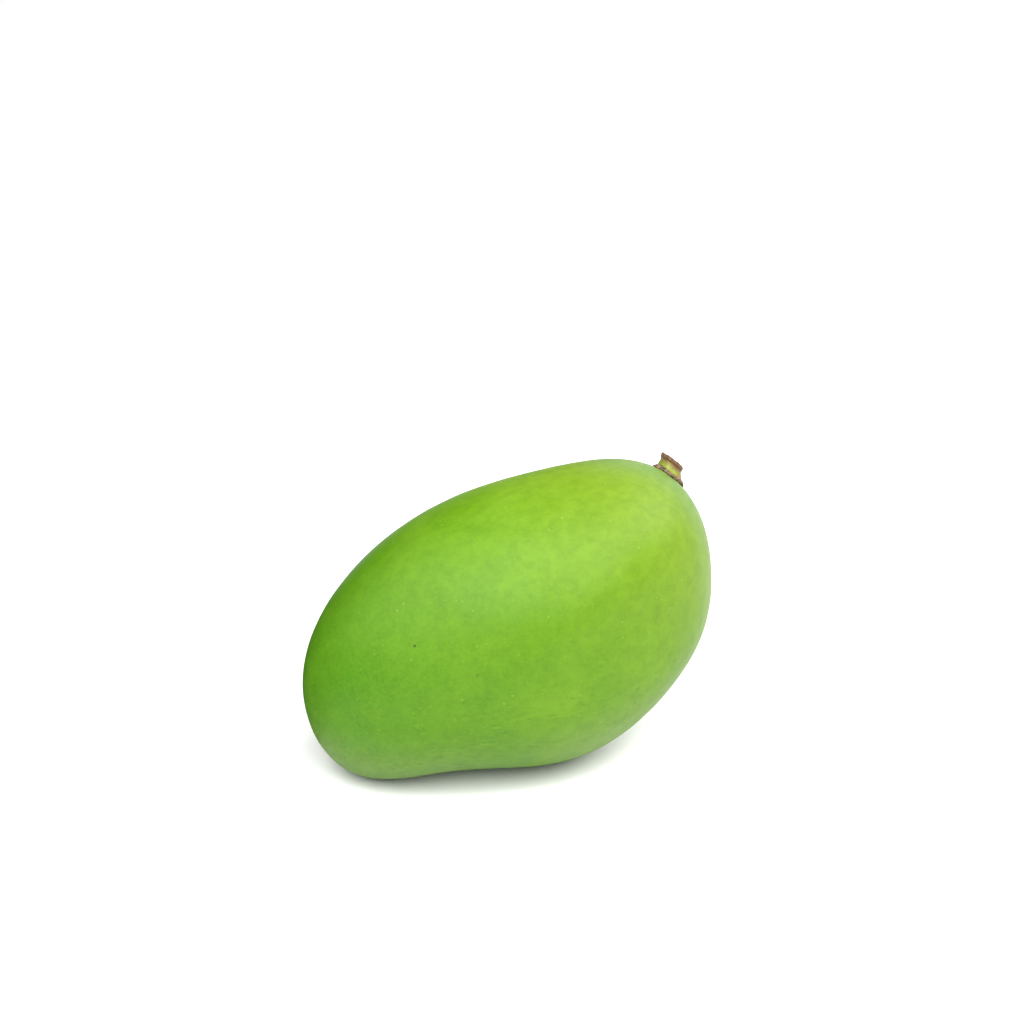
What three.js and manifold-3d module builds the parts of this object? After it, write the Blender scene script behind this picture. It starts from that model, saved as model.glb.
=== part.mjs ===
// A green mango with the cut stub of its stem, lying on its belly and its beak.
// Millimetres, +Z up. The stem end points to +X and the beak to -X. The origin is on the
// ground, at the middle of the fruit's bounding box.
import * as THREE from 'three';
import { mergeVertices } from 'three/addons/utils/BufferGeometryUtils.js';
import Module from 'manifold-3d';

// The fruit: an ellipsoid that is thicker at the stem end and bowed like a bean
const LENGTH = 107;
const WIDTH = 69;
const THICKNESS = 65;
const TAPER = 0.07;
const BOW = 3.2;

// Where its outline swells or hollows. Angles go round the outline in degrees, from the
// stem end over the back; a high fade keeps the swell away from the cheeks.
const SWELLS = [
  { name: 'shoulder by the stem', angle: 33, height: 8, spread: 26, fade: 1 },
  { name: 'beak', angle: 215, height: 4.8, spread: 24, fade: 2 },
  { name: 'hollow behind the beak', angle: 247, height: -5.3, spread: 26, fade: 2 },
  { name: 'belly', angle: 268, height: 6.8, spread: 38, fade: 1 },
];

// Where it is flatter: both cheeks, and the belly that it lies on
const FLATTER = [
  { angle: 0, across: 90, height: -0.8, spread: 40 },
  { angle: 0, across: -90, height: -0.8, spread: 40 },
  { angle: 262, across: 0, height: -1, spread: 24 },
];

// How it lies: the stem end up, leaning back, and the flat spot's depth in the skin
const TILT = 15;
const LEAN_BACK = 8;
const FLAT_DEPTH = 0.5;

// The stem: a root in a round socket, a corky collar on the skin and a slanting stub
const STEM_ANGLE = 29;
const STEM_ACROSS = -6;
const ROOT_RADIUS = 3.2;
const ROOT_DEPTH = 3.5;
const COLLAR_RADIUS = 4.7;
const COLLAR_HEIGHT = 0.9;
const STUB_RADIUS = 3.8;
const NECK_RADIUS = 3.1;
const RIM_RADIUS = 3.35;
const RIM_HEIGHT = 0.9;
const STUB_HEIGHT = 3.9;
const STUB_SLANT = 26;
const GAP = 0.3;

// Fineness of the meshes
const SKIN_DETAIL = 12;
const ROUND_SIDES = 28;

const wasm = await Module();
wasm.setup();

const radians = THREE.MathUtils.degToRad;
const degrees = THREE.MathUtils.radToDeg;

// A closed geometry as a solid that can be cut and joined
function solidOf(geometry) {
  const plain = geometry.clone();
  plain.deleteAttribute('normal');
  plain.deleteAttribute('uv');
  const welded = mergeVertices(plain, 1e-4);
  const corners = welded.index.array;
  const triangles = [];
  for (let i = 0; i < corners.length; i += 3) {
    const [a, b, c] = corners.slice(i, i + 3);
    if (a !== b && b !== c && c !== a) triangles.push(a, b, c);
  }
  return new wasm.Manifold(new wasm.Mesh({
    numProp: 3,
    vertProperties: new Float32Array(welded.attributes.position.array),
    triVerts: new Uint32Array(triangles),
  }));
}

function geometryOf(solid) {
  const { vertProperties, triVerts } = solid.getMesh();
  const geometry = new THREE.BufferGeometry();
  geometry.setAttribute('position', new THREE.BufferAttribute(vertProperties, 3));
  geometry.setIndex(new THREE.BufferAttribute(triVerts, 1));
  geometry.computeVertexNormals();
  return geometry;
}

// A direction from the fruit's middle: round the outline, then out of its plane
function towards(angle, across) {
  const flat = Math.cos(radians(across));
  return new THREE.Vector3(
    Math.cos(radians(angle)) * flat,
    Math.sin(radians(angle)) * flat,
    Math.sin(radians(across)),
  );
}

// How far the swells and the flatter places raise the skin in one direction
function skinHeight(direction) {
  const { x, y, z } = direction;
  let height = 0;
  for (const { angle, height: top, spread, fade } of SWELLS) {
    const turn = THREE.MathUtils.euclideanModulo(degrees(Math.atan2(y, x)) - angle + 180, 360) - 180;
    height += top * Math.exp(-((turn / spread) ** 2)) * (1 - z * z) ** fade;
  }
  for (const { angle, across, height: top, spread } of FLATTER) {
    const turn = degrees(direction.angleTo(towards(angle, across)));
    height += top * Math.exp(-((turn / spread) ** 2));
  }
  return height;
}

// The skin's point in one direction, with x to the stem end, y to the back, z to a cheek
function skinPoint(direction, raise = 0) {
  const { x, y, z } = direction;
  const girth = 1 + TAPER * x;
  const outward = new THREE.Vector3(x / LENGTH, y / WIDTH, z / THICKNESS).normalize();
  const point = new THREE.Vector3(
    (LENGTH / 2) * x,
    (WIDTH / 2) * y * girth - BOW * x * x,
    (THICKNESS / 2) * z * girth,
  );
  return point.addScaledVector(outward, skinHeight(direction) + raise);
}

// The whole skin as a closed geometry, standing off by "raise"
function skinGeometry(raise = 0) {
  const ball = new THREE.IcosahedronGeometry(1, SKIN_DETAIL);
  ball.deleteAttribute('normal');
  ball.deleteAttribute('uv');
  const skin = mergeVertices(ball, 1e-5);
  const points = skin.attributes.position;
  const direction = new THREE.Vector3();
  for (let i = 0; i < points.count; i += 1) {
    direction.fromBufferAttribute(points, i).normalize();
    points.setXYZ(i, ...skinPoint(direction, raise));
  }
  return skin;
}

// The turn that lays the fruit down, and the lift that sinks its lowest point by the flat
function lyingMatrix() {
  const turn = new THREE.Matrix4().makeRotationFromEuler(
    new THREE.Euler(radians(90 - LEAN_BACK), radians(-TILT), 0, 'YXZ'),
  );
  const lying = skinGeometry().applyMatrix4(turn);
  lying.computeBoundingBox();
  const lift = new THREE.Matrix4().makeTranslation(0, 0, -lying.boundingBox.min.z - FLAT_DEPTH);
  return lift.multiply(turn);
}

// The stem's own frame on the skin: +Z outward, +X the way that the stub slants
function stemMatrix(lying) {
  const step = 0.5;
  const foot = skinPoint(towards(STEM_ANGLE, STEM_ACROSS));
  const slant = skinPoint(towards(STEM_ANGLE + step, STEM_ACROSS)).sub(foot);
  const side = skinPoint(towards(STEM_ANGLE, STEM_ACROSS + step)).sub(foot);
  const outward = new THREE.Vector3().crossVectors(side, slant).normalize();
  if (outward.dot(foot) < 0) outward.negate();
  slant.addScaledVector(outward, -slant.dot(outward)).normalize();
  const across = new THREE.Vector3().crossVectors(outward, slant);
  const frame = new THREE.Matrix4().makeBasis(slant, across, outward).setPosition(foot);
  return lying.clone().multiply(frame);
}

// A round piece about +Z from points [radius, height], listed upwards
function turned(profile) {
  const points = profile.map(([radius, height]) => new THREE.Vector2(radius, height));
  return new THREE.LatheGeometry(points, ROUND_SIDES).rotateX(Math.PI / 2);
}

// The collar's edge is uneven, and the stub slants above it
function shapeStub(geometry) {
  const points = geometry.attributes.position;
  for (let i = 0; i < points.count; i += 1) {
    const [x, y, z] = [points.getX(i), points.getY(i), points.getZ(i)];
    const round = Math.atan2(y, x);
    const low = THREE.MathUtils.smoothstep(COLLAR_HEIGHT + 0.2 - z, 0, 0.2);
    const uneven = 1 + low * (0.03 * Math.sin(3 * round + 1) + 0.02 * Math.sin(7 * round));
    const shift = Math.max(z - COLLAR_HEIGHT / 2, 0) * Math.tan(radians(STUB_SLANT));
    points.setXYZ(i, x * uneven + shift, y * uneven, z);
  }
  return geometry;
}

function fruitMesh(lying, stemFrame) {
  const size = 2 * LENGTH;
  const ground = new THREE.BoxGeometry(size, size, size).translate(0, 0, -size / 2);
  const socketRadius = ROOT_RADIUS + GAP / Math.cos(Math.PI / ROUND_SIDES);
  const socket = turned([
    [0, -ROOT_DEPTH - GAP],
    [socketRadius, -ROOT_DEPTH - GAP],
    [socketRadius, STUB_HEIGHT],
    [0, STUB_HEIGHT],
  ]).applyMatrix4(stemFrame);
  const solid = solidOf(skinGeometry().applyMatrix4(lying))
    .subtract(solidOf(ground))
    .subtract(solidOf(socket));
  const skin = new THREE.MeshStandardMaterial({ color: 0x84b52f, roughness: 0.38, metalness: 0 });
  const mesh = new THREE.Mesh(geometryOf(solid), skin);
  mesh.name = 'fruit';
  return mesh;
}

function stemMesh(lying, stemFrame) {
  const stub = shapeStub(turned([
    [0, -1],
    [COLLAR_RADIUS, -1],
    [COLLAR_RADIUS, 0.25],
    [COLLAR_RADIUS - 0.35, 0.65],
    [STUB_RADIUS + 0.1, COLLAR_HEIGHT],
    [STUB_RADIUS - 0.35, COLLAR_HEIGHT + 0.5],
    [NECK_RADIUS, STUB_HEIGHT - RIM_HEIGHT - 0.35],
    [RIM_RADIUS, STUB_HEIGHT - RIM_HEIGHT],
    [RIM_RADIUS, STUB_HEIGHT - 0.2],
    [RIM_RADIUS - 0.25, STUB_HEIGHT],
    [0, STUB_HEIGHT],
  ]));
  const root = turned([
    [0, -ROOT_DEPTH],
    [ROOT_RADIUS, -ROOT_DEPTH],
    [ROOT_RADIUS, COLLAR_HEIGHT / 2],
    [0, COLLAR_HEIGHT / 2],
  ]);
  const clearOfStem = stemFrame.clone().invert().multiply(lying);
  const raisedSkin = skinGeometry(GAP).applyMatrix4(clearOfStem);
  const solid = solidOf(stub)
    .subtract(solidOf(raisedSkin))
    .add(solidOf(root));
  const cork = new THREE.MeshStandardMaterial({ color: 0x7c6a35, roughness: 0.8, metalness: 0 });
  const mesh = new THREE.Mesh(geometryOf(solid), cork);
  mesh.name = 'stem';
  stemFrame.decompose(mesh.position, mesh.quaternion, mesh.scale);
  return mesh;
}

const lying = lyingMatrix();
const stemFrame = stemMatrix(lying);
const mango = new THREE.Group();
mango.add(fruitMesh(lying, stemFrame));
mango.add(stemMesh(lying, stemFrame));

const middle = new THREE.Box3().setFromObject(mango, true).getCenter(new THREE.Vector3());
mango.position.set(-middle.x, -middle.y, 0);

export default mango;
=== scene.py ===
"""A green mango: its waxy skin, the corky collar and cut stub of its stem, in a white studio."""

import math

import bmesh
import bpy
import numpy as np
from bpy.props import FloatProperty, FloatVectorProperty, PointerProperty
from mathutils import Matrix, Vector, noise


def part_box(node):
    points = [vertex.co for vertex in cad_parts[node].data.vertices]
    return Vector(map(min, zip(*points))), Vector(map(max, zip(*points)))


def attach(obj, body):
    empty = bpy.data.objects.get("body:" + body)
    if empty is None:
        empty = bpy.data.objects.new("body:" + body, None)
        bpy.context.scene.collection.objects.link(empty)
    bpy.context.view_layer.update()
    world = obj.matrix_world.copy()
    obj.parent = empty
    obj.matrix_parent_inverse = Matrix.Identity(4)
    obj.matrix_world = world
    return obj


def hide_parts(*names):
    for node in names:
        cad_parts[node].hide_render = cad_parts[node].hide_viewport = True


bl_info = {
    "name": "Green mango",
    "version": (1, 0, 0),
    "blender": (4, 5, 0),
    "location": "3D View > Sidebar > Mango",
    "description": "Builds a green mango with a cut stem around its packed frame",
    "category": "Add Mesh",
}

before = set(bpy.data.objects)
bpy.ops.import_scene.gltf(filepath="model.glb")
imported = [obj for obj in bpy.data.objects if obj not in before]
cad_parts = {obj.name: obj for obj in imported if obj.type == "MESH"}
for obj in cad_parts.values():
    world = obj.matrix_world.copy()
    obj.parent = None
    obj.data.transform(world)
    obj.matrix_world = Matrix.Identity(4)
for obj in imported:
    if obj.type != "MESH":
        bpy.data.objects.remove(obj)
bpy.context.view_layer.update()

MM = 0.001

# Where the outline swells or hollows: degrees round it from the stem end over the back,
# height in mm, spread in degrees, and how fast it fades towards the cheeks
SWELLS = {
    "shoulder by the stem": (33, 8.0, 26, 1),
    "beak": (215, 4.8, 24, 2),
    "hollow behind the beak": (247, -5.3, 26, 2),
    "belly": (268, 6.8, 38, 1),
}

# Where the skin is flatter: degrees round the outline and out of it, height in mm, spread
FLATTER = {
    "near cheek": (0, 90, -0.8, 40),
    "far cheek": (0, -90, -0.8, 40),
    "belly underneath": (262, 0, -1.0, 24),
}

# Tiny dark specks: degrees round the outline and out of it, radius in mm, strength
SPECKS = {
    "dark speck on the near cheek": (139.8, 52.3, 0.36, 0.85),
    "faint speck below it": (166.9, 75.3, 0.4, 0.3),
}

# The socket of the stem, and how far round it the skin is puckered
SOCKET_RADIUS = 3.5 * MM
SOCKET_DEPTH = 3.8 * MM
SOCKET_LIP = 0.15 * MM
PUCKER_REACH = 9 * MM
FURROWS = 9

# Grain of the slow waves in the skin, and of the lumps on the collar, the stub and its rim
WAVE_GRAIN = 16 * MM
COLLAR_GRAIN = 0.9 * MM
STUB_GRAIN = 1.3 * MM
RIM_GRAIN = 1.5 * MM

# Height of the lumps on the collar, and its section's middle and rise as shares of its height
COLLAR_LUMPS = 0.34 * MM
COLLAR_MIDDLE = 0.45
COLLAR_RISE = 0.68

# How many of each marking of the peel fit in a metre
PATCHES_IN_METRE = 55
FLECKS_IN_METRE = 330
FIBRES_IN_METRE = 1500
CLUMPS_IN_METRE = 140
PORES_IN_METRE = 520

# How strongly each marking tints the peel, from 0 to 1
FLECKS = 0.28
GRAIN = 0.2
DARK_LINES = 0.5
PALE_LINES = 0.55
PORE_RINGS = 0.15
PORE_DOTS = 0.4
# The next three paint light from the white floor: under the beak, and as a reflection where the skin faces
# down or slants away
PAINTED_FLOOR_LIGHT_UNDER_BEAK = 0.62
PAINTED_SHEEN_FACING_DOWN = 0.8
PAINTED_SHEEN_AT_EDGE = 0.3
SHOULDER = 0.8
# Halo round the stem, and the painted reflection where the skin slants away beside it
HALO_AND_SHEEN = 0.9

# The stage in metres: the floor, the softboxes and the edges of the two dark cards
FLOOR_HALF = 0.65
SOFTBOX_SIZE = 1.2
SOFTBOX_AIM = (0, 0, 0.035)
SOFTBOX_PLACES = {
    "front": (-0.1, -0.8, 1.0),
    "right": (0.9, -0.1, 1.0),
    "left": (-0.9, -0.1, 1.0),
    "back": (0.8, 0.65, 0.4),
}
CARD_FOOT = ((-0.048, 0.075), (-0.17, -0.02))
CARD_EDGE_BY_FRUIT = ((-0.07, -0.005), (-0.02, 0.03))
CARD_LOW = 0.001
CARD_HIGH = 0.095

# Fineness of the meshes, and how much wider each ring round the socket is than the last
SKIN_SAMPLES = 20000
SKIN_SIDES = 288
SKIN_RINGS = 170
RING_GROWTH = 1.06
COLLAR_SIDES = 160
COLLAR_SECTION = 22
STUB_SIDES = 96
PROFILE_STEPS = 4


def towards(angle, across):
    """A direction from the fruit's middle: degrees round its outline, then out of its plane."""
    round_it = math.radians(angle)
    out_of_it = math.radians(across)
    flat = math.cos(out_of_it)
    return np.array([math.cos(round_it) * flat, math.sin(round_it) * flat, math.sin(out_of_it)])


def towards_all_sides(count):
    """Directions spread evenly over a ball, along a spiral from one pole to the other."""
    steps = np.arange(count) + 0.5
    z = 1 - 2 * steps / count
    turn = steps * math.pi * (3 - math.sqrt(5))
    flat = np.sqrt(1 - z * z)
    return np.stack([flat * np.cos(turn), flat * np.sin(turn), z], -1)


def unit(vectors):
    return vectors / np.linalg.norm(vectors, axis=-1, keepdims=True)


def smooth_step(value, low, high):
    t = np.clip((value - low) / (high - low), 0, 1)
    return t * t * (3 - 2 * t)


class Shape:
    """The fruit's skin as a formula, and the lying frame that it is turned into."""

    def __init__(self, fruit, stem):
        self.fruit = fruit
        self.half = np.array([fruit.length, fruit.width, fruit.thickness]) / 2
        self.stem_way = towards(stem.angle, stem.across)
        self.turn = np.array(
            Matrix.Rotation(-fruit.tilt, 3, "Y") @ Matrix.Rotation(math.pi / 2 - fruit.lean_back, 3, "X")
        )
        self.shift = np.zeros(3)
        self.settle()
        self.stem_frame = self.find_stem_frame(stem)
        self.stem_inverse = np.linalg.inv(self.stem_frame)
        self.sides = self.find_sides()
        self.spread_at_stem = self.find_spread_at_stem()

    def height(self, ways):
        """How far the swells and the flatter places raise the skin in these directions."""
        x, y, z = ways.T
        round_it = np.degrees(np.arctan2(y, x))
        height = np.zeros(len(ways))
        for angle, top, spread, fade in SWELLS.values():
            away = (round_it - angle + 180) % 360 - 180
            height += top * MM * np.exp(-((away / spread) ** 2)) * (1 - z * z) ** fade
        for angle, across, top, spread in FLATTER.values():
            away = np.degrees(np.arccos(np.clip(ways @ towards(angle, across), -1, 1)))
            height += top * MM * np.exp(-((away / spread) ** 2))
        return height

    def skin(self, ways):
        """The skin's points in these unit directions, in the lying frame."""
        x = ways[:, 0]
        girth = 1 + self.fruit.taper * x
        points = ways * self.half
        points[:, 1:] *= girth[:, None]
        points[:, 1] -= self.fruit.bow * x * x
        points += unit(ways / self.half) * self.height(ways)[:, None]
        return points @ self.turn.T + self.shift

    def settle(self):
        """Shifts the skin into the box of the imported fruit."""
        points = self.skin(towards_all_sides(SKIN_SAMPLES))
        low, high = (np.array(corner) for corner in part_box("fruit"))
        self.shift = (low + high) / 2 - (points.min(0) + points.max(0)) / 2
        self.shift[2] = high[2] - points[:, 2].max()

    def find_stem_frame(self, stem):
        """A 4x4 frame on the skin: z outward, x the way that the stub slants."""
        step = 0.5
        ways = np.array([
            self.stem_way,
            towards(stem.angle + step, stem.across),
            towards(stem.angle, stem.across + step),
        ])
        foot, slant, side = self.skin(ways)
        slant, side = slant - foot, side - foot
        outward = unit(np.cross(side, slant))
        if outward @ (foot - self.shift) < 0:
            outward = -outward
        slant = unit(slant - outward * (slant @ outward))
        result = np.eye(4)
        result[:3, :3] = np.stack([slant, np.cross(outward, slant), outward], -1)
        result[:3, 3] = foot
        return result

    def find_sides(self):
        """The two ways to step aside from the stem's direction, along its frame's x and y."""
        sides = self.stem_frame[:3, :2].T @ self.turn
        return unit(sides - np.outer(sides @ self.stem_way, self.stem_way))

    def find_spread_at_stem(self):
        """How far to step aside for a move of the skin's point in the stem's frame, 2x2."""
        step = 1e-3
        ways = unit(self.stem_way + step * self.sides)
        moved = self.to_stem(self.skin(ways))[:, :2] / step
        return np.linalg.inv(moved.T)

    def stem_matrix(self):
        return Matrix(self.stem_frame.tolist())

    def to_stem(self, points):
        return points @ self.stem_inverse[:3, :3].T + self.stem_inverse[:3, 3]

    def from_stem(self, points):
        return points @ self.stem_frame[:3, :3].T + self.stem_frame[:3, 3]

    def ways_near_stem(self, across):
        """The directions whose skin points lie at these x, y places in the stem's frame."""
        steps = across @ self.spread_at_stem.T
        for _ in range(6):
            ways = unit(self.stem_way + steps @ self.sides)
            missed = across - self.to_stem(self.skin(ways))[:, :2]
            steps = steps + missed @ self.spread_at_stem.T
        return unit(self.stem_way + steps @ self.sides)

    def skin_level(self, across):
        """The skin's height in the stem's frame at these x, y places."""
        return self.to_stem(self.skin(self.ways_near_stem(across)))[:, 2]


def full_turn(sides):
    return np.linspace(0, 2 * math.pi, sides, endpoint=False)


def on_circle(turn):
    """Points on a circle of radius 1 at these angles."""
    return np.stack([np.cos(turn), np.sin(turn)], -1)


def ring(radius, sides):
    return on_circle(full_turn(sides)) * radius


def tube_faces(rings, sides, first=0):
    """Quads between rings of points that are numbered one ring after another."""
    faces = []
    for row in range(rings - 1):
        start = first + row * sides
        for i in range(sides):
            j = (i + 1) % sides
            faces.append((start + i, start + j, start + sides + j, start + sides + i))
    return faces


def fan_faces(centre, start, sides):
    return [(centre, start + (i + 1) % sides, start + i) for i in range(sides)]


def closed_tube(first_point, rings, last_point):
    """Points and faces of a tube of rings that is closed by a point at each end."""
    sides = len(rings[0])
    points = np.concatenate([first_point[None], *rings, last_point[None]])
    last = len(points) - 1
    faces = tube_faces(len(rings), sides, 1)
    faces += fan_faces(0, 1, sides)
    faces += fan_faces(last, last - sides, sides)
    return points, faces


def rough(points, grain, seed, octaves):
    """Smooth noise between about -1 and 1 at these points, with its grain in metres."""
    offset = Vector((seed, seed * 0.7, -seed))
    return np.array([
        noise.fractal(Vector(point / grain) + offset, 1.0, 2.0, octaves, noise_basis="PERLIN_ORIGINAL")
        for point in points
    ])


def add_piece(name, points, faces, material, node, place=None):
    """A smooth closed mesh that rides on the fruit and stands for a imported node."""
    mesh = bpy.data.meshes.new(name)
    mesh.from_pydata(points.tolist(), [], faces)
    sculpt = bmesh.new()
    sculpt.from_mesh(mesh)
    bmesh.ops.recalc_face_normals(sculpt, faces=sculpt.faces)
    sculpt.to_mesh(mesh)
    sculpt.free()
    mesh.shade_smooth()
    mesh.materials.append(material)
    piece = bpy.data.objects.new(name, mesh)
    bpy.context.scene.collection.objects.link(piece)
    if place is not None:
        piece.matrix_world = place
    bpy.context.view_layer.update()
    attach(piece, "root")
    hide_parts(node)


class Nodes:
    """A small helper that adds nodes to a tree and links them by socket name."""

    # A Mix node's sockets for two colours and their blend, which share names with others
    FIRST_COLOUR = 6
    SECOND_COLOUR = 7
    BLEND = 2

    def __init__(self, tree):
        self.tree = tree

    def add(self, kind, inputs=None, **settings):
        node = self.tree.nodes.new(kind)
        for name, value in settings.items():
            setattr(node, name, value)
        for name, value in (inputs or {}).items():
            self.put(value, node.inputs[name])
        return node

    def put(self, value, socket):
        if isinstance(value, bpy.types.NodeSocket):
            self.tree.links.new(value, socket)
        elif isinstance(value, bpy.types.Node):
            self.tree.links.new(value.outputs[0], socket)
        else:
            socket.default_value = value

    def math(self, operation, first, second):
        node = self.add("ShaderNodeMath", operation=operation)
        self.put(first, node.inputs[0])
        self.put(second, node.inputs[1])
        return node.outputs[0]

    def times(self, first, second):
        return self.math("MULTIPLY", first, second)

    def larger(self, first, second):
        return self.math("MAXIMUM", first, second)

    def ramp(self, value, low, high, to_low=0.0, to_high=1.0):
        node = self.add("ShaderNodeMapRange", interpolation_type="SMOOTHSTEP")
        for name, setting in zip(("Value", "From Min", "From Max", "To Min", "To Max"),
                                 (value, low, high, to_low, to_high)):
            self.put(setting, node.inputs[name])
        return node.outputs["Result"]

    def mix(self, amount, first, second):
        """A blend of two colours; each is a node's socket or a plain red, green and blue."""
        node = self.add("ShaderNodeMix", {"Factor": amount}, data_type="RGBA")
        for value, place in ((first, self.FIRST_COLOUR), (second, self.SECOND_COLOUR)):
            plain = not isinstance(value, bpy.types.NodeSocket)
            self.put((*value, 1.0) if plain else value, node.inputs[place])
        return node.outputs[self.BLEND]

    def noise(self, vector, scale, detail, roughness=0.5, distortion=0.0):
        node = self.add("ShaderNodeTexNoise", {
            "Vector": vector, "Scale": scale, "Detail": detail,
            "Roughness": roughness, "Distortion": distortion,
        })
        return node.outputs["Fac"]

    def length(self, vector):
        node = self.add("ShaderNodeVectorMath", {"Vector": vector}, operation="LENGTH")
        return node.outputs["Value"]

    def group(self, name, make, inputs):
        """The outputs of a node group that is made the first time a material asks for it."""
        tree = bpy.data.node_groups.get(name) or make(name)
        return self.add("ShaderNodeGroup", inputs, node_tree=tree).outputs

    def bump(self, height, strength, distance):
        node = self.add("ShaderNodeBump", {"Height": height, "Strength": strength, "Distance": distance})
        return node.outputs["Normal"]


def new_group(name, inputs, outputs):
    """An empty group: inputs are names with a default, or None for a vector; outputs are values."""
    tree = bpy.data.node_groups.new(name, "ShaderNodeTree")
    for socket, default in inputs.items():
        kind = "NodeSocketVector" if default is None else "NodeSocketFloat"
        made = tree.interface.new_socket(socket, in_out="INPUT", socket_type=kind)
        if default is not None:
            made.default_value = default
    for socket in outputs:
        tree.interface.new_socket(socket, in_out="OUTPUT", socket_type="NodeSocketFloat")
    nodes = Nodes(tree)
    start = nodes.add("NodeGroupInput")
    end = nodes.add("NodeGroupOutput")
    return nodes, start.outputs, end.inputs


def mottle_group(name):
    """Cloudy patches, smaller flecks and a fine grain, as growing tissue shows."""
    nodes, given, out = new_group(
        name,
        {"Vector": None, "Patch Scale": 60.0, "Fleck Scale": 700.0},
        ("Patches", "Flecks", "Grain"),
    )
    patches = nodes.noise(given["Vector"], given["Patch Scale"], 4.0, 0.55, 0.3)
    flecks = nodes.noise(given["Vector"], given["Fleck Scale"], 3.0, 0.6)
    finer = nodes.times(given["Fleck Scale"], 3.5)
    grain = nodes.noise(given["Vector"], finer, 2.0, 0.5)
    nodes.put(nodes.ramp(patches, 0.3, 0.7), out["Patches"])
    nodes.put(nodes.ramp(flecks, 0.3, 0.7), out["Flecks"])
    nodes.put(nodes.ramp(grain, 0.3, 0.7), out["Grain"])
    return nodes.tree


def dots_group(name):
    """Round dots of uneven size and strength, and a ring round each, for pores and specks."""
    nodes, given, out = new_group(
        name,
        {"Vector": None, "Scale": 300.0, "Size": 0.12, "Share": 0.5},
        ("Dots", "Rings"),
    )
    cells = nodes.add("ShaderNodeTexVoronoi", {"Vector": given["Vector"], "Scale": given["Scale"]})
    pick = nodes.add("ShaderNodeSeparateColor", {"Color": cells.outputs["Color"]})
    size = nodes.times(given["Size"], nodes.ramp(pick.outputs["Green"], 0, 1, 0.5, 1.0))
    kept = nodes.math("LESS_THAN", pick.outputs["Red"], given["Share"])
    strength = nodes.times(kept, nodes.ramp(pick.outputs["Blue"], 0.2, 1.0, 0.25, 1.0))

    # Distances from a dot's middle, as shares of its size
    away = nodes.math("DIVIDE", cells.outputs["Distance"], size)
    dot = nodes.ramp(away, 0.1, 1.1, 1.0, 0.0)
    outside = nodes.ramp(away, 0.8, 1.1)
    inside = nodes.ramp(away, 1.1, 1.6, 1.0, 0.0)
    nodes.put(nodes.times(dot, strength), out["Dots"])
    nodes.put(nodes.times(nodes.times(outside, inside), strength), out["Rings"])
    return nodes.tree


def streaks_group(name):
    """Streaks that run out from an axis along z, uneven in width and strength."""
    nodes, given, out = new_group(
        name,
        {"Vector": None, "Across": 6.0, "Along": 60.0},
        ("Streaks", "Radius"),
    )
    parts = nodes.add("ShaderNodeSeparateXYZ", {"Vector": given["Vector"]})
    flat = nodes.add("ShaderNodeCombineXYZ", {"X": parts.outputs["X"], "Y": parts.outputs["Y"]})
    radius = nodes.length(flat)
    way = nodes.add("ShaderNodeVectorMath", {"Vector": flat}, operation="NORMALIZE")
    across = nodes.add("ShaderNodeVectorMath", {"Vector": way, "Scale": given["Across"]}, operation="SCALE")
    spread = nodes.add("ShaderNodeSeparateXYZ", {"Vector": across})
    length = nodes.math("ADD", radius, parts.outputs["Z"])
    place = nodes.add("ShaderNodeCombineXYZ", {
        "X": spread.outputs["X"], "Y": spread.outputs["Y"], "Z": nodes.times(length, given["Along"]),
    })
    streaks = nodes.noise(place, 1.0, 3.0, 0.6)
    nodes.put(nodes.ramp(streaks, 0.32, 0.68), out["Streaks"])
    nodes.put(radius, out["Radius"])
    return nodes.tree


def new_material(name):
    material = bpy.data.materials.new(name)
    material.use_nodes = True
    nodes = Nodes(material.node_tree)
    shader = material.node_tree.nodes["Principled BSDF"]
    place = nodes.add("ShaderNodeTexCoord").outputs["Object"]
    return material, nodes, shader, place


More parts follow.
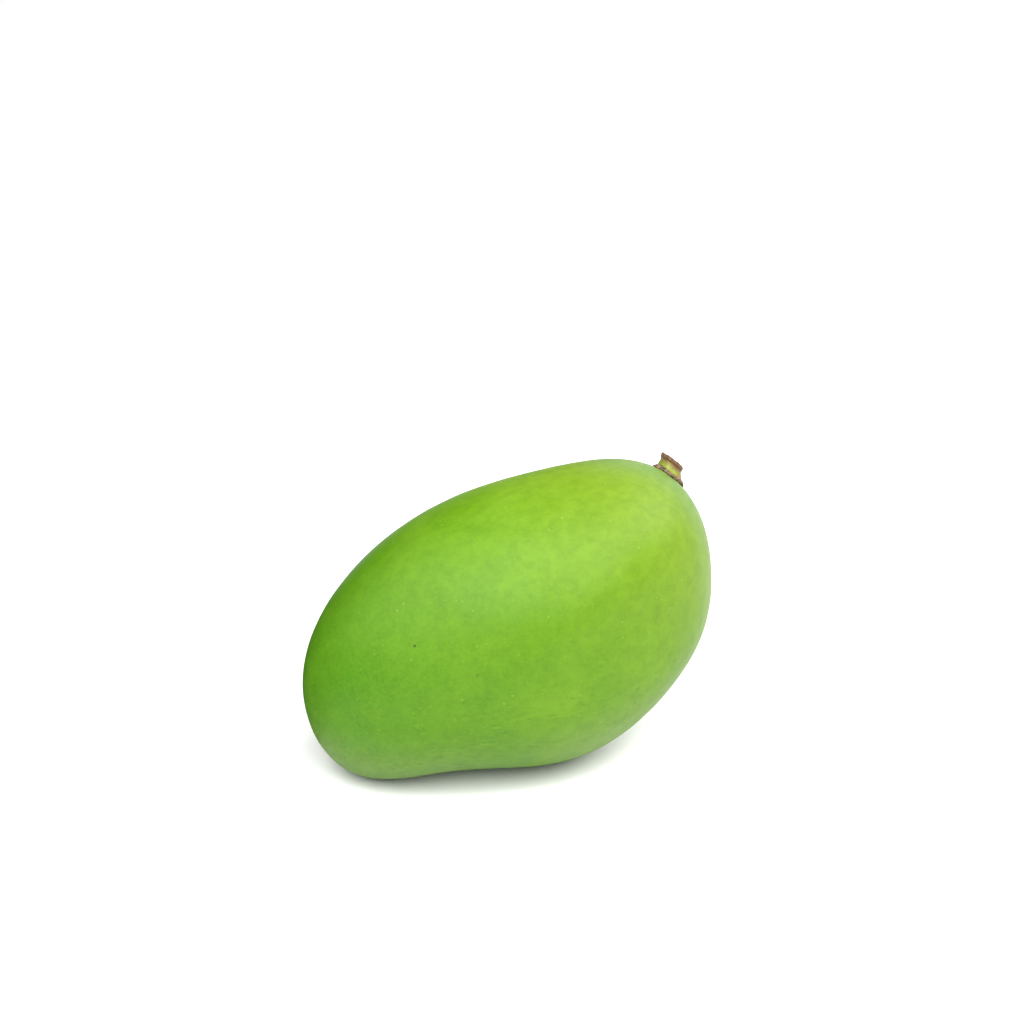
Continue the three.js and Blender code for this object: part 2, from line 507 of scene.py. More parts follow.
def skin_material(look, shape):
    """Waxy green peel: cloudy greens, pale pores, streaks round the stem, a satin sheen, painted light from
    the white floor.
    """
    material, nodes, shader, place = new_material("Mango skin")
    parts = nodes.add("ShaderNodeSeparateXYZ", {"Vector": place})
    height = parts.outputs["Z"]
    along = nodes.math("ADD", parts.outputs["X"], nodes.times(height, 0.5))
    towards_stem_end = nodes.ramp(along, -40 * MM, 50 * MM)
    # How far the skin turns from the view; it places the painted reflections at the edges
    slant = nodes.add("ShaderNodeLayerWeight", {"Blend": 0.5}).outputs["Facing"]
    mottle = nodes.group("Mottle", mottle_group, {
        "Vector": place, "Patch Scale": PATCHES_IN_METRE, "Fleck Scale": FLECKS_IN_METRE,
    })
    pores = nodes.group("Dots", dots_group, {
        "Vector": place, "Scale": PORES_IN_METRE, "Size": 0.3, "Share": 0.34,
    })

    # Deeper green towards the beak, paler towards the stem: partly the peel's own colour, partly painted
    # shade over the beak end
    colour = nodes.mix(towards_stem_end, look.deep_green, look.green)
    pale = nodes.times(mottle["Patches"], nodes.ramp(towards_stem_end, 0.2, 1.0, 0.25, 0.6))
    colour = nodes.mix(pale, colour, look.pale_green)

    # Painted light and reflections from the white floor
    colour = add_painted_floor_light(nodes, look, colour, height, towards_stem_end, slant)
    colour = add_stem_end(nodes, look, shape, colour, place, slant)
    colour = nodes.mix(nodes.times(mottle["Flecks"], FLECKS), colour, look.fleck)
    colour = nodes.mix(nodes.times(mottle["Grain"], GRAIN), colour, look.pale_green)
    colour = add_lines(nodes, look, colour, place, height)
    colour = nodes.mix(nodes.times(pores["Rings"], PORE_RINGS), colour, look.fleck)
    colour = nodes.mix(nodes.times(pores["Dots"], PORE_DOTS), colour, look.pore)
    colour = add_specks(nodes, look, shape, colour, place)
    nodes.put(colour, shader.inputs["Base Color"])

    gloss = nodes.ramp(mottle["Patches"], 0, 1, look.roughness - 0.04, look.roughness + 0.05)
    nodes.put(gloss, shader.inputs["Roughness"])
    relief = nodes.math("ADD", nodes.times(mottle["Flecks"], 0.6), nodes.times(pores["Dots"], 0.15))
    nodes.put(nodes.bump(relief, 0.12, 0.1 * MM), shader.inputs["Normal"])
    shader.inputs["IOR"].default_value = 1.4
    shader.inputs["Specular IOR Level"].default_value = look.wax
    return material


def add_painted_floor_light(nodes, look, colour, height, towards_stem_end, slant):
    """A thin painted light from the white floor under the beak and, at the stem end, a painted reflection
    where the skin slants away or faces down.
    """
    # Painted light bounced up from the white floor onto the low skin under the beak
    low = nodes.ramp(height, 6 * MM, 24 * MM, PAINTED_FLOOR_LIGHT_UNDER_BEAK, 0.0)
    under_beak = nodes.times(low, nodes.ramp(towards_stem_end, 0.1, 0.6, 1.0, 0.0))
    # Painted reflection of the white floor where the skin faces down, and of the surroundings where it
    # slants away
    facing = nodes.add("ShaderNodeTexCoord").outputs["Normal"]
    up = nodes.add("ShaderNodeSeparateXYZ", {"Vector": facing}).outputs["Z"]
    facing_down = nodes.ramp(up, -0.6, -0.1, PAINTED_SHEEN_FACING_DOWN, 0.0)
    at_edge = nodes.ramp(slant, 0.45, 0.95, 0.0, PAINTED_SHEEN_AT_EDGE)
    at_stem_end = nodes.times(nodes.larger(at_edge, facing_down), nodes.ramp(towards_stem_end, 0.3, 0.9))
    return nodes.mix(nodes.larger(under_beak, at_stem_end), colour, look.halo_and_sheen)


def add_stem_end(nodes, look, shape, colour, place, slant):
    """A yellower shoulder, then a whitish halo and darker streaks round the stem, and a painted reflection
    beside it where the skin slants away.
    """
    matrix = shape.stem_matrix()
    at_stem = nodes.add("ShaderNodeMapping", {
        "Vector": place, "Location": matrix.to_translation(), "Rotation": matrix.to_euler(),
    }, vector_type="TEXTURE")
    away = nodes.length(at_stem)
    colour = nodes.mix(nodes.ramp(away, 12 * MM, 62 * MM, SHOULDER, 0.0), colour, look.shoulder)

    # The halo is broken up by streaks; where the skin slants away beside it, the same whitish green is a
    # painted reflection
    group = nodes.group("Streaks", streaks_group, {"Vector": at_stem, "Across": 5, "Along": 90})
    streaks = group["Streaks"]
    around = nodes.ramp(away, 5 * MM, 14 * MM, HALO_AND_SHEEN, 0.0)
    around = nodes.times(around, nodes.ramp(streaks, 0, 1, 1.0, 0.35))
    # Painted reflection of the white surroundings where the skin beside the stem slants away
    beside = nodes.ramp(slant, 0.4, 0.75, 0.0, HALO_AND_SHEEN)
    beside = nodes.times(beside, nodes.ramp(away, 14 * MM, 30 * MM, 1.0, 0.0))
    colour = nodes.mix(nodes.larger(around, beside), colour, look.halo_and_sheen)
    streaked = nodes.times(streaks, nodes.ramp(away, 7 * MM, 26 * MM, 0.4, 0.0))
    return nodes.mix(streaked, colour, look.deep_green)


def add_lines(nodes, look, colour, place, height):
    """Clumps of short fine lines along the fruit, dark and pale, clearer on the belly."""
    lengthwise = nodes.add("ShaderNodeMapping", {"Vector": place, "Scale": (0.2, 1, 1)})
    fibres = nodes.noise(lengthwise, FIBRES_IN_METRE, 2.0, 0.5, 0.4)
    clumps = nodes.ramp(nodes.noise(place, CLUMPS_IN_METRE, 2.0), 0.4, 0.62)
    clumps = nodes.times(clumps, nodes.ramp(height, 15 * MM, 45 * MM, 1.0, 0.35))
    dark_lines = nodes.times(nodes.ramp(fibres, 0.28, 0.44, DARK_LINES, 0.0), clumps)
    pale_lines = nodes.times(nodes.ramp(fibres, 0.56, 0.72, 0.0, PALE_LINES), clumps)
    colour = nodes.mix(dark_lines, colour, look.fleck)
    return nodes.mix(pale_lines, colour, look.pale_green)


def add_specks(nodes, look, shape, colour, place):
    """The tiny dark specks, each at its own place on the skin."""
    for angle, across, radius, strength in SPECKS.values():
        centre = shape.skin(towards(angle, across)[None])[0]
        offset = nodes.add("ShaderNodeVectorMath", {"Vector": place}, operation="SUBTRACT")
        offset.inputs[1].default_value = centre
        spot = nodes.ramp(nodes.length(offset), 0.4 * radius * MM, 1.4 * radius * MM, strength, 0.0)
        colour = nodes.mix(spot, colour, look.speck)
    return colour


def cork_material(look):
    """Dry brown cork with dark cracks and pale edges."""
    material, nodes, shader, place = new_material("Mango collar")
    mottle = nodes.group("Mottle", mottle_group, {
        "Vector": place, "Patch Scale": 800, "Fleck Scale": 1500,
    })
    colour = nodes.mix(nodes.ramp(mottle["Patches"], 0.25, 0.6), look.cork_dark, look.cork)
    colour = nodes.mix(nodes.ramp(mottle["Flecks"], 0.5, 0.85, 0.0, 0.9), colour, look.cork_pale)
    colour = nodes.mix(nodes.times(mottle["Grain"], 0.35), colour, look.cork_dark)
    nodes.put(colour, shader.inputs["Base Color"])
    nodes.put(nodes.ramp(mottle["Flecks"], 0, 1, 0.72, 0.92), shader.inputs["Roughness"])
    height = nodes.math("ADD", mottle["Patches"], mottle["Flecks"])
    nodes.put(nodes.bump(height, 0.6, 0.15 * MM), shader.inputs["Normal"])
    return material


def stub_material(look):
    """Yellow-green stalk with fine lines, a red-brown rim and a yellow cut face."""
    material, nodes, shader, place = new_material("Mango stub")
    parts = nodes.add("ShaderNodeSeparateXYZ", {"Vector": place}).outputs
    height = parts["Z"]

    # The stub's own place with its slant taken out
    above = nodes.larger(nodes.math("SUBTRACT", height, look.collar_height / 2), 0)
    sideways = nodes.math("SUBTRACT", parts["X"], nodes.times(above, math.tan(look.slant)))
    upright = nodes.add("ShaderNodeCombineXYZ", {"X": sideways, "Y": parts["Y"], "Z": height})
    streaks = nodes.group("Streaks", streaks_group, {"Vector": upright, "Across": 9, "Along": 250})
    mottle = nodes.group("Mottle", mottle_group, {
        "Vector": upright, "Patch Scale": 700, "Fleck Scale": 2600,
    })
    colour = nodes.mix(streaks["Streaks"], look.stub, look.stub_pale)

    # Browner towards the rim, lower down on one side, and in blotches
    top = look.height
    drop = nodes.ramp(sideways, -3 * MM, -1 * MM, 1.1 * MM, 0.0)
    level = nodes.math("ADD", height, nodes.times(mottle["Patches"], 0.7 * MM))
    level = nodes.math("ADD", level, drop)
    near_rim = nodes.ramp(level, top - 2.6 * MM, top - 1.2 * MM, 0.0, 0.6)
    sunny_side = nodes.ramp(parts["X"], -2 * MM, 0.4 * MM, 0.9, 0.0)
    colour = nodes.mix(nodes.larger(near_rim, sunny_side), colour, look.tan)
    colour = nodes.mix(nodes.ramp(level, top - 1.3 * MM, top - 0.8 * MM), colour, look.rim)
    blotch = nodes.times(mottle["Flecks"], nodes.ramp(level, 1 * MM, top, 0.15, 0.65))
    colour = nodes.mix(blotch, colour, look.cork_dark)

    # The cut face inside the rim
    radius = streaks["Radius"]
    inside = nodes.ramp(radius, look.rim_radius - 0.95 * MM, look.rim_radius - 0.55 * MM, 1.0, 0.0)
    cut = nodes.times(inside, nodes.math("GREATER_THAN", height, top - 0.5 * MM))
    pith = nodes.ramp(radius, 0.3 * MM, 1.1 * MM, 0.75, 0.0)
    stained = nodes.larger(pith, nodes.times(mottle["Patches"], 0.6))
    colour = nodes.mix(cut, colour, nodes.mix(stained, look.cut, look.tan))
    nodes.put(colour, shader.inputs["Base Color"])
    nodes.put(nodes.ramp(mottle["Patches"], 0, 1, 0.5, 0.68), shader.inputs["Roughness"])
    nodes.put(nodes.bump(streaks["Streaks"], 0.4, 0.1 * MM), shader.inputs["Normal"])
    return material


class MangoFruitSettings(bpy.types.PropertyGroup):
    """Size, pose and finish of the fruit."""

    length: FloatProperty(name="Length", description="From beak to stem end, before the swells",
                          default=107 * MM, subtype="DISTANCE", unit="LENGTH")
    width: FloatProperty(name="Width", description="From belly to back, before the swells",
                         default=69 * MM, subtype="DISTANCE", unit="LENGTH")
    thickness: FloatProperty(name="Thickness", description="From cheek to cheek",
                             default=65 * MM, subtype="DISTANCE", unit="LENGTH")
    taper: FloatProperty(name="Taper", description="How much thicker the stem end is", default=0.07)
    bow: FloatProperty(name="Bow", description="How far both ends bend to the belly side",
                       default=3.2 * MM, subtype="DISTANCE", unit="LENGTH")
    tilt: FloatProperty(name="Tilt", description="How far the stem end is up",
                        default=math.radians(15), subtype="ANGLE", unit="ROTATION")
    lean_back: FloatProperty(name="Lean Back", description="How far the fruit leans back",
                             default=math.radians(8), subtype="ANGLE", unit="ROTATION")
    contact: FloatProperty(name="Contact", description="Softness of the edge of the flat spot",
                           default=0.1 * MM, subtype="DISTANCE", unit="LENGTH")
    wave: FloatProperty(name="Wave", description="Height of the slow waves in the skin",
                        default=0.12 * MM, subtype="DISTANCE", unit="LENGTH")
    pucker: FloatProperty(name="Pucker", description="Depth of the furrows round the stem",
                          default=0.12 * MM, subtype="DISTANCE", unit="LENGTH")
    green: FloatVectorProperty(name="Green", description="Main green of the peel",
                               default=(0.094, 0.211, 0.003), size=3, subtype="COLOR", min=0, max=1)
    # The beak end's green is partly its own colour and partly painted shade; it also colours the streaks
    # round the stem
    deep_green: FloatVectorProperty(name="Deep Green", description="Green of the beak end",
                                    default=(0.044, 0.162, 0.001), size=3, subtype="COLOR", min=0, max=1)
    pale_green: FloatVectorProperty(name="Pale Green", description="Green of the paler patches",
                                    default=(0.134, 0.266, 0.011), size=3, subtype="COLOR", min=0, max=1)
    fleck: FloatVectorProperty(name="Fleck", description="Dark green of flecks and fine lines",
                               default=(0.038, 0.108, 0.001), size=3, subtype="COLOR", min=0, max=1)
    shoulder: FloatVectorProperty(name="Shoulder", description="Yellower green of the stem end",
                                  default=(0.158, 0.234, 0.012), size=3, subtype="COLOR", min=0, max=1)
    # Whitish green of the halo, also used for painted light and reflections from the white floor
    halo_and_sheen: FloatVectorProperty(name="Halo", description="Whitish green of halo and floor_light",
                              default=(0.150, 0.235, 0.055), size=3, subtype="COLOR", min=0, max=1)
    pore: FloatVectorProperty(name="Pore", description="Pale pores",
                              default=(0.235, 0.350, 0.060), size=3, subtype="COLOR", min=0, max=1)
    speck: FloatVectorProperty(name="Speck", description="Tiny dark specks",
                               default=(0.012, 0.022, 0.002), size=3, subtype="COLOR", min=0, max=1)
    roughness: FloatProperty(name="Roughness", description="Roughness of the peel",
                             default=0.5, min=0, max=1, subtype="FACTOR")
    wax: FloatProperty(name="Wax", description="Strength of the peel's sheen",
                       default=0.3, min=0, max=1, subtype="FACTOR")


class MangoStemSettings(bpy.types.PropertyGroup):
    """Place, size and finish of the stem."""

    angle: FloatProperty(name="Angle", description="Degrees round the outline from the stem end",
                         default=29)
    across: FloatProperty(name="Across", description="Degrees out of the outline's plane", default=-6)
    collar_radius: FloatProperty(name="Collar Radius", description="Radius of the corky collar",
                                 default=4.7 * MM, subtype="DISTANCE", unit="LENGTH")
    collar_height: FloatProperty(name="Collar Height", description="Height of the corky collar",
                                 default=0.9 * MM, subtype="DISTANCE", unit="LENGTH")
    stub_radius: FloatProperty(name="Stub Radius", description="Radius of the stub at the collar",
                               default=3.7 * MM, subtype="DISTANCE", unit="LENGTH")
    neck_radius: FloatProperty(name="Neck Radius", description="Radius of the neck below the rim",
                               default=3.1 * MM, subtype="DISTANCE", unit="LENGTH")
    rim_radius: FloatProperty(name="Rim Radius", description="Radius of the rim at the cut",
                              default=3.35 * MM, subtype="DISTANCE", unit="LENGTH")
    root_radius: FloatProperty(name="Root Radius", description="Radius of the root in its socket",
                               default=3.2 * MM, subtype="DISTANCE", unit="LENGTH")
    root_depth: FloatProperty(name="Root Depth", description="Depth of the root in its socket",
                              default=3.5 * MM, subtype="DISTANCE", unit="LENGTH")
    height: FloatProperty(name="Height", description="Height of the cut above the skin",
                          default=3.9 * MM, subtype="DISTANCE", unit="LENGTH")
    slant: FloatProperty(name="Slant", description="How far the stub slants",
                         default=math.radians(26), subtype="ANGLE", unit="ROTATION")
    cork: FloatVectorProperty(name="Cork", description="Brown of the collar",
                              default=(0.130, 0.072, 0.032), size=3, subtype="COLOR", min=0, max=1)
    cork_dark: FloatVectorProperty(name="Dark Cork", description="Cracks in the collar",
                                   default=(0.016, 0.009, 0.005), size=3, subtype="COLOR", min=0, max=1)
    cork_pale: FloatVectorProperty(name="Pale Cork", description="Dry edges of the collar",
                                   default=(0.270, 0.185, 0.095), size=3, subtype="COLOR", min=0, max=1)
    stub: FloatVectorProperty(name="Stub", description="Yellow-green of the stub",
                              default=(0.140, 0.195, 0.008), size=3, subtype="COLOR", min=0, max=1)
    stub_pale: FloatVectorProperty(name="Pale Stub", description="Paler lines of the stub",
                                   default=(0.230, 0.265, 0.014), size=3, subtype="COLOR", min=0, max=1)
    tan: FloatVectorProperty(name="Tan", description="Orange-brown of the stub below its rim",
                             default=(0.225, 0.125, 0.018), size=3, subtype="COLOR", min=0, max=1)
    rim: FloatVectorProperty(name="Rim", description="Red-brown of the rim",
                             default=(0.180, 0.086, 0.034), size=3, subtype="COLOR", min=0, max=1)
    cut: FloatVectorProperty(name="Cut", description="Yellow of the cut face",
                             default=(0.250, 0.175, 0.045), size=3, subtype="COLOR", min=0, max=1)


class MangoStageSettings(bpy.types.PropertyGroup):
    """Camera, floor and lights."""

    azimuth: FloatProperty(name="Azimuth", description="Camera's angle round the fruit",
                           default=math.radians(-15), subtype="ANGLE", unit="ROTATION")
    elevation: FloatProperty(name="Elevation", description="Camera's angle above the floor",
                             default=math.radians(25), subtype="ANGLE", unit="ROTATION")
    distance: FloatProperty(name="Distance", description="From the camera to what it aims at",
                            default=720 * MM, subtype="DISTANCE", unit="LENGTH")
    aim: FloatVectorProperty(name="Aim", description="The point at the middle of the picture",
                             default=(4.1 * MM, 10.8 * MM, 61.7 * MM), size=3,
                             subtype="TRANSLATION", unit="LENGTH")
    lens: FloatProperty(name="Lens", description="Focal length in millimetres", default=100)
    front: FloatProperty(name="Front", description="Power of the front softbox in watts", default=29.5)
    right: FloatProperty(name="Right", description="Power of the right softbox in watts", default=22.7)
    left: FloatProperty(name="Left", description="Power of the left softbox in watts", default=16.5)
    back: FloatProperty(name="Back", description="Power of the back softbox in watts", default=6.5)
    flag: FloatVectorProperty(name="Flag", description="Colour of the dark cards at the back left",
                              default=(0.01, 0.03, 0.003), size=3, subtype="COLOR", min=0, max=1)
    sky: FloatProperty(name="Sky", description="Strength of the light from the surroundings", default=0.03)


class MANGO_OT_fruit(bpy.types.Operator):
    """Builds the fruit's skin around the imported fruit"""

    bl_idname = "mango.fruit"
    bl_label = "Fruit"

    def execute(self, context):
        fruit = context.scene.mango_fruit
        shape = Shape(fruit, context.scene.mango_stem)
        ways = self.ways_over_skin(shape)
        skin = self.relief(shape, fruit, np.concatenate(ways))
        rings = [skin[i * SKIN_SIDES:(i + 1) * SKIN_SIDES] for i in range(len(ways) - 1)]
        socket = self.socket(shape)
        points, faces = closed_tube(socket[0], socket[1:] + rings, skin[-1])
        add_piece("fruit_skin", points, faces, skin_material(fruit, shape), "fruit")
        return {"FINISHED"}

    def ways_over_skin(self, shape):
        """Rings of directions from the socket's lip to the point opposite the stem."""
        radii = [SOCKET_RADIUS + SOCKET_LIP]
        while radii[-1] < PUCKER_REACH:
            radii.append(radii[-1] * RING_GROWTH)
        ways = [shape.ways_near_stem(ring(radius, SKIN_SIDES)) for radius in radii]
        start = ways[-1]
        left = np.arccos(np.clip(start @ -shape.stem_way, -1, 1))
        for step in np.linspace(0, 1, SKIN_RINGS)[1:-1]:
            from_start = np.sin((1 - step) * left)[:, None] * start
            to_end = np.sin(step * left)[:, None] * -shape.stem_way
            ways.append(unit((from_start + to_end) / np.sin(left)[:, None]))
        ways.append(-shape.stem_way[None])
        return ways

    def relief(self, shape, fruit, ways):
        """The skin with its slow waves, the furrows round the stem and the flat spot."""
        points = shape.skin(ways)
        outward = unit(unit(ways / shape.half) @ shape.turn.T)
        at_stem = shape.to_stem(points)
        radius = np.linalg.norm(at_stem[:, :2], axis=1)

        # Skin this far below the stem's foot counts as far away, also straight under it
        far_below = at_stem[:, 2] <= -12 * MM
        radius = np.where(far_below, 1, radius)
        calm = smooth_step(radius, 5 * MM, 14 * MM)
        wave = rough(points, WAVE_GRAIN, seed=3.0, octaves=2) * fruit.wave * calm
        round_it = np.arctan2(at_stem[:, 1], at_stem[:, 0])
        uneven = 2 * np.sin(3 * round_it)
        furrow = np.sin(FURROWS * round_it + uneven) * np.exp(-((radius / PUCKER_REACH) ** 2))
        points += outward * (wave + furrow * fruit.pucker)[:, None]

        # What would lie below the floor is pressed flat, with a soft edge
        z = points[:, 2]
        points[:, 2] = (z + np.sqrt(z * z + fruit.contact ** 2)) / 2
        return points

    def socket(self, shape):
        """The socket's middle and its rings, from the bottom up to the lip."""
        across = ring(SOCKET_RADIUS, SKIN_SIDES)
        level = shape.skin_level(across)
        heights = [np.full(SKIN_SIDES, -SOCKET_DEPTH), (level - SOCKET_DEPTH) / 2, level - SOCKET_LIP]
        rings = [shape.from_stem(np.column_stack([across, height])) for height in heights]
        return [shape.from_stem(np.array([[0, 0, -SOCKET_DEPTH]]))[0], *rings]


class MANGO_OT_collar(bpy.types.Operator):
    """Builds the corky collar where the stem leaves the skin"""

    bl_idname = "mango.collar"
    bl_label = "Collar"

    def execute(self, context):
        stem = context.scene.mango_stem
        shape = Shape(context.scene.mango_fruit, stem)
        inner = stem.stub_radius - 0.45 * MM
        middle = (stem.collar_radius + inner) / 2
        half_width = (stem.collar_radius - inner) / 2
        turn = full_turn(COLLAR_SIDES)
        uneven = 0.03 * np.sin(3 * turn + 1) + 0.025 * np.sin(7 * turn) + 0.015 * np.sin(17 * turn + 2)
        rings = []
        for part in full_turn(COLLAR_SECTION):
            outer_side = math.cos(part) > 0
            radius = middle + half_width * math.cos(part) * (1 + 2.2 * uneven * outer_side)
            height = stem.collar_height * (COLLAR_MIDDLE + COLLAR_RISE * math.sin(part))
            across = on_circle(turn) * radius[:, None]
            level = shape.skin_level(across)
            rings.append(np.column_stack([across, level + height * (1 + 3 * uneven)]))
        points = np.concatenate(rings)
        middle_line = np.column_stack([unit(points[:, :2]) * middle, np.full(len(points), 0.3 * MM)])
        lumps = rough(points, COLLAR_GRAIN, seed=5.0, octaves=4) * COLLAR_LUMPS
        points += unit(points - middle_line) * lumps[:, None]
        add_piece("stem_collar", points, self.ring_faces(), cork_material(stem), "stem",
                  shape.stem_matrix())
        return {"FINISHED"}

    def ring_faces(self):
        """Quads round the collar's section, the last row of points joined to the first."""
        faces = tube_faces(COLLAR_SECTION, COLLAR_SIDES)
        last = (COLLAR_SECTION - 1) * COLLAR_SIDES
        for i in range(COLLAR_SIDES):
            j = (i + 1) % COLLAR_SIDES
            faces.append((last + i, last + j, j, i))
        return faces


class MANGO_OT_stub(bpy.types.Operator):
    """Builds the cut stub of the stem and its root in the socket"""

    bl_idname = "mango.stub"
    bl_label = "Stub"

    def execute(self, context):
        stem = context.scene.mango_stem
        shape = Shape(context.scene.mango_fruit, stem)
        top = stem.height

        # Radius and height, from the root's foot to near the middle of the cut face
        profile = [
            (stem.root_radius, -stem.root_depth),
            (stem.root_radius, -stem.root_depth / 2),
            (stem.root_radius, -0.4 * MM),
            (stem.stub_radius - 0.1 * MM, 0.35 * MM),
            (stem.stub_radius, 0.8 * MM),
            (stem.stub_radius - 0.15 * MM, 1.2 * MM),
            (stem.neck_radius + 0.1 * MM, 2.0 * MM),
            (stem.neck_radius, 2.5 * MM),
            (stem.neck_radius + 0.05 * MM, 2.8 * MM),
            (stem.rim_radius, 3.05 * MM),
            (stem.rim_radius + 0.02 * MM, 3.35 * MM),
            (stem.rim_radius, top - 0.2 * MM),
            (stem.rim_radius - 0.12 * MM, top - 0.03 * MM),
            (stem.rim_radius - 0.35 * MM, top),
            (stem.rim_radius - 0.6 * MM, top - 0.1 * MM),
            (stem.rim_radius - 1.0 * MM, top - 0.22 * MM),
            (stem.rim_radius - 2.0 * MM, top - 0.25 * MM),
            (stem.rim_radius - 2.9 * MM, top - 0.2 * MM),
        ]
        turn = full_turn(STUB_SIDES)
        ribs = 0.03 * np.sin(2 * turn + 0.9) + 0.018 * np.sin(9 * turn + 0.6) + 0.01 * np.sin(17 * turn + 2)
        rings = []
        for radius, height in self.finer(profile):
            out = smooth_step(np.array(height), 0.2 * MM, 1 * MM)
            across = on_circle(turn) * (radius * (1 + out * ribs))[:, None]
            rings.append(np.column_stack([across, np.full(STUB_SIDES, height)]))
        foot = np.array([0, 0, -stem.root_depth])
        end = np.array([0, 0, top - 0.2 * MM])
        points, faces = closed_tube(foot, rings, end)
        self.add_lumps(points, top)
        start = stem.collar_height / 2
        points[:, 0] += np.maximum(points[:, 2] - start, 0) * math.tan(stem.slant)
        add_piece("stem_stub", points, faces, stub_material(stem), "stem",
                  shape.stem_matrix())
        return {"FINISHED"}

    def finer(self, profile):
        """A smooth curve through the profile's points."""
        points = np.array([profile[0], *profile, profile[-1]])
        result = []
        for a, b, c, d in zip(points, points[1:], points[2:], points[3:]):
            for t in np.linspace(0, 1, PROFILE_STEPS, endpoint=False):
                result.append(0.5 * (2 * b + (c - a) * t + (2 * a - 5 * b + 4 * c - d) * t * t
                                     + (3 * b - a - 3 * c + d) * t ** 3))
        return [*result, points[-1]]

    def add_lumps(self, points, top):
        """Moves the stub's points in and out, most at the rim, which is also uneven in height."""
        above = smooth_step(points[:, 2], 0.5 * MM, 1.5 * MM)
        at_rim = smooth_step(points[:, 2], top - 1.1 * MM, top - 0.7 * MM)
        lumps = rough(points, STUB_GRAIN, seed=9.0, octaves=3) * (0.1 * above + 0.16 * at_rim) * MM
        outward = unit(np.column_stack([points[:, :2], np.full(len(points), 0.1 * MM)]))
        points += outward * lumps[:, None]
        points[:, 2] += rough(points, RIM_GRAIN, seed=4.0, octaves=3) * at_rim * 0.2 * MM


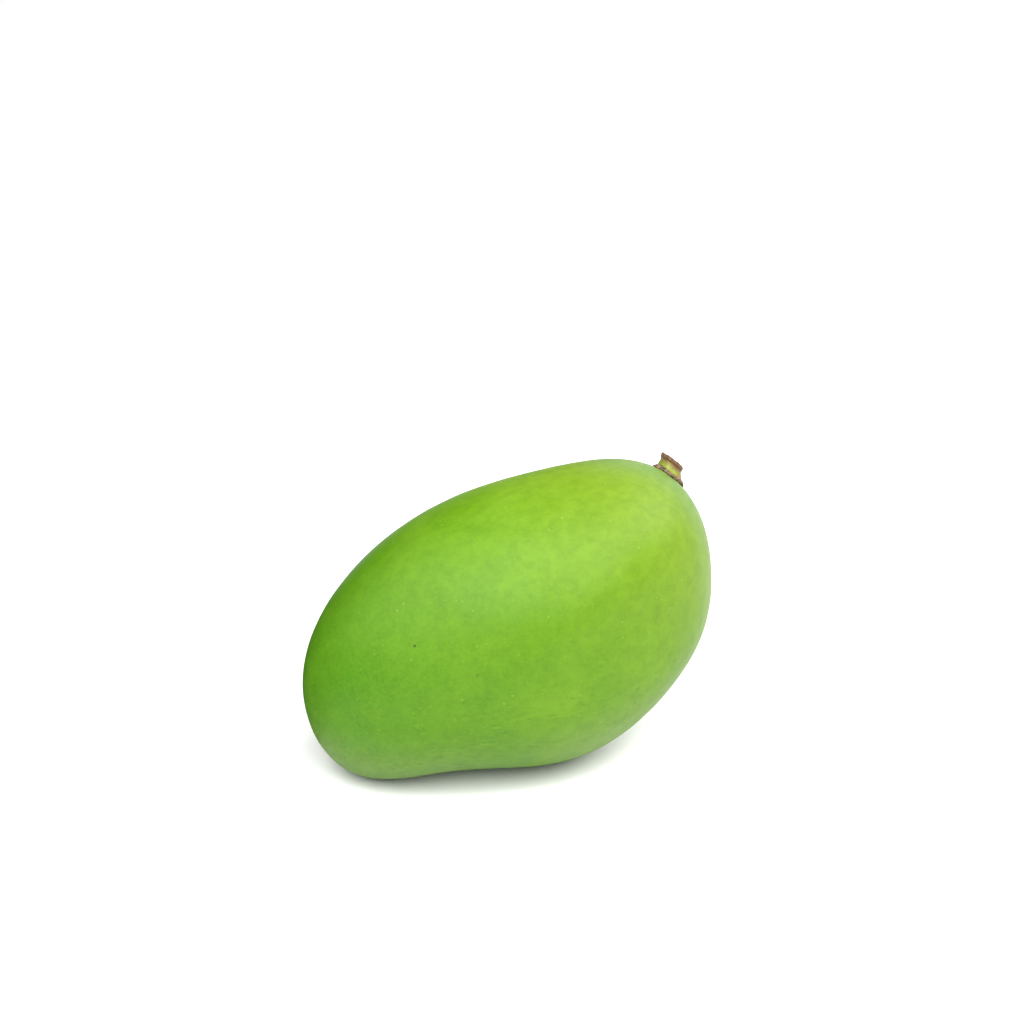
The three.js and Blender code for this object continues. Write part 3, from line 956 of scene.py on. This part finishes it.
class MANGO_OT_stage(bpy.types.Operator):
    """Builds the white floor, the soft lights, the dark cards and the camera"""

    bl_idname = "mango.stage"
    bl_label = "Stage"

    def execute(self, context):
        stage = context.scene.mango_stage
        self.floor(context)
        for side, place in SOFTBOX_PLACES.items():
            self.softbox(context, f"{side.capitalize()} softbox", place, getattr(stage, side))
        self.flags(context, stage)
        self.sky(context, stage)
        self.camera(context, stage)
        context.scene.view_settings.view_transform = "Standard"
        return {"FINISHED"}

    def floor(self, context):
        half = FLOOR_HALF
        corners = [(-half, -half, 0), (half, -half, 0), (half, half, 0), (-half, half, 0)]
        self.sheet(context, "floor", corners, (0.8, 0.8, 0.8))

    def flags(self, context, stage):
        """Dark cards out of sight at the back left, which keep that edge of the skin deep."""
        near, far = CARD_FOOT
        foot = [(*near, CARD_LOW), (*far, CARD_LOW)]
        upright = foot + [(*far, CARD_HIGH), (*near, CARD_HIGH)]
        lying = foot + [(*corner, CARD_LOW) for corner in CARD_EDGE_BY_FRUIT]
        self.flag(context, "upright flag", upright, stage.flag)
        card = self.flag(context, "lying flag", lying, stage.flag)

        # Seen only by the sheen of the skin, so that the floor beside it stays white
        card.visible_diffuse = False

    def flag(self, context, name, corners, colour):
        card = self.sheet(context, name, corners, colour)
        card.visible_camera = False
        card.visible_shadow = False
        return card

    def sheet(self, context, name, corners, colour):
        """A flat matt sheet that belongs to the stage."""
        mesh = bpy.data.meshes.new(name)
        mesh.from_pydata(corners, [], [(0, 1, 2, 3)])
        material = bpy.data.materials.new(name)
        material.use_nodes = True
        shader = material.node_tree.nodes["Principled BSDF"]
        shader.inputs["Base Color"].default_value = (*colour, 1)
        shader.inputs["Roughness"].default_value = 0.7
        mesh.materials.append(material)
        sheet = bpy.data.objects.new(name, mesh)
        context.scene.collection.objects.link(sheet)
        return sheet

    def softbox(self, context, name, place, power):
        light = bpy.data.lights.new(name, "AREA")
        light.size = SOFTBOX_SIZE
        light.energy = power
        box = bpy.data.objects.new(name, light)
        context.scene.collection.objects.link(box)
        box.location = place
        aim = Vector(SOFTBOX_AIM) - box.location
        box.rotation_euler = aim.to_track_quat("-Z", "Y").to_euler()

    def sky(self, context, stage):
        """Surroundings that the camera sees as white but that shed only a little light."""
        world = bpy.data.worlds.new("White surroundings")
        world.use_nodes = True
        nodes = Nodes(world.node_tree)
        background = world.node_tree.nodes["Background"]
        background.inputs["Color"].default_value = (1, 1, 1, 1)
        seen = nodes.add("ShaderNodeLightPath").outputs["Is Camera Ray"]
        nodes.put(nodes.ramp(seen, 0, 1, stage.sky, 1.0), background.inputs["Strength"])
        context.scene.world = world

    def camera(self, context, stage):
        data = bpy.data.cameras.new("Camera")
        data.lens = stage.lens
        camera = bpy.data.objects.new("Camera", data)
        context.scene.collection.objects.link(camera)
        flat = math.cos(stage.elevation)
        back = Vector((math.sin(stage.azimuth) * flat, -math.cos(stage.azimuth) * flat,
                       math.sin(stage.elevation)))
        camera.location = Vector(stage.aim) + back * stage.distance
        camera.rotation_euler = (-back).to_track_quat("-Z", "Y").to_euler()
        data.clip_start, data.clip_end = 0.01, 20
        context.scene.camera = camera


class MANGO_PT_panel(bpy.types.Panel):
    """Lists the mango's settings and the steps that build it"""

    bl_label = "Mango"
    bl_idname = "MANGO_PT_panel"
    bl_space_type = "VIEW_3D"
    bl_region_type = "UI"
    bl_category = "Mango"

    def draw(self, context):
        scene = context.scene
        for title, settings, steps in (
            ("Fruit", scene.mango_fruit, ("mango.fruit",)),
            ("Stem", scene.mango_stem, ("mango.collar", "mango.stub")),
            ("Stage", scene.mango_stage, ("mango.stage",)),
        ):
            box = self.layout.box()
            box.label(text=title)
            for name in settings.__annotations__:
                box.prop(settings, name)
            for step in steps:
                box.operator(step)


CLASSES = (
    MangoFruitSettings,
    MangoStemSettings,
    MangoStageSettings,
    MANGO_OT_fruit,
    MANGO_OT_collar,
    MANGO_OT_stub,
    MANGO_OT_stage,
    MANGO_PT_panel,
)


def register():
    for item in CLASSES:
        bpy.utils.register_class(item)
    bpy.types.Scene.mango_fruit = PointerProperty(type=MangoFruitSettings)
    bpy.types.Scene.mango_stem = PointerProperty(type=MangoStemSettings)
    bpy.types.Scene.mango_stage = PointerProperty(type=MangoStageSettings)


def unregister():
    del bpy.types.Scene.mango_stage
    del bpy.types.Scene.mango_stem
    del bpy.types.Scene.mango_fruit
    for item in reversed(CLASSES):
        bpy.utils.unregister_class(item)


def main():
    register()
    bpy.ops.mango.fruit()
    bpy.ops.mango.collar()
    bpy.ops.mango.stub()
    bpy.ops.mango.stage()


if __name__ == "__main__":
    main()
